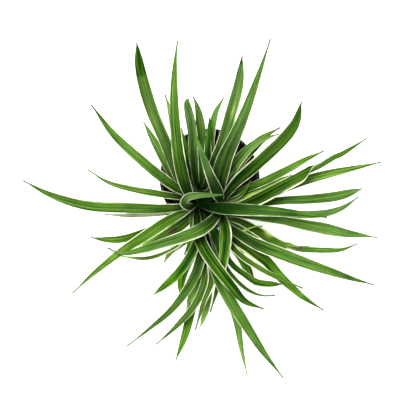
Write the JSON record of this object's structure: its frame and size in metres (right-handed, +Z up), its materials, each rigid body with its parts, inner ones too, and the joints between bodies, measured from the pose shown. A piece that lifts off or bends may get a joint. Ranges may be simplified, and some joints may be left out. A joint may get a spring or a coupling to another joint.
{
  "type": "potted spider plant",
  "caption": "Potted spider plant: arching, pointed green leaves with narrow cream margins, in crowded rosettes that spread from a tapered black nursery pot filled with soil.",
  "frame": {"origin": "middle of the pot's underside, on its axis, where the pot rests", "axes": "+Z up along the pot's axis; +Y towards the upper edge of the picture, away from the side that the crowns crowd towards; +X to the picture's right"},
  "size_m": [0.435, 0.402, 0.211],
  "materials": {
    "pot_plastic": "satin",
    "soil": "matte",
    "leaf": "satin"
  },
  "bodies": {
    "root": {"pot": "pot_plastic", "soil": "soil", "rosette_left": "leaf", "rosette_upper": "leaf", "rosette_right": "leaf", "rosette_lower_right": "leaf", "rosette_lower": "leaf"}
  },
  "joints": []
}
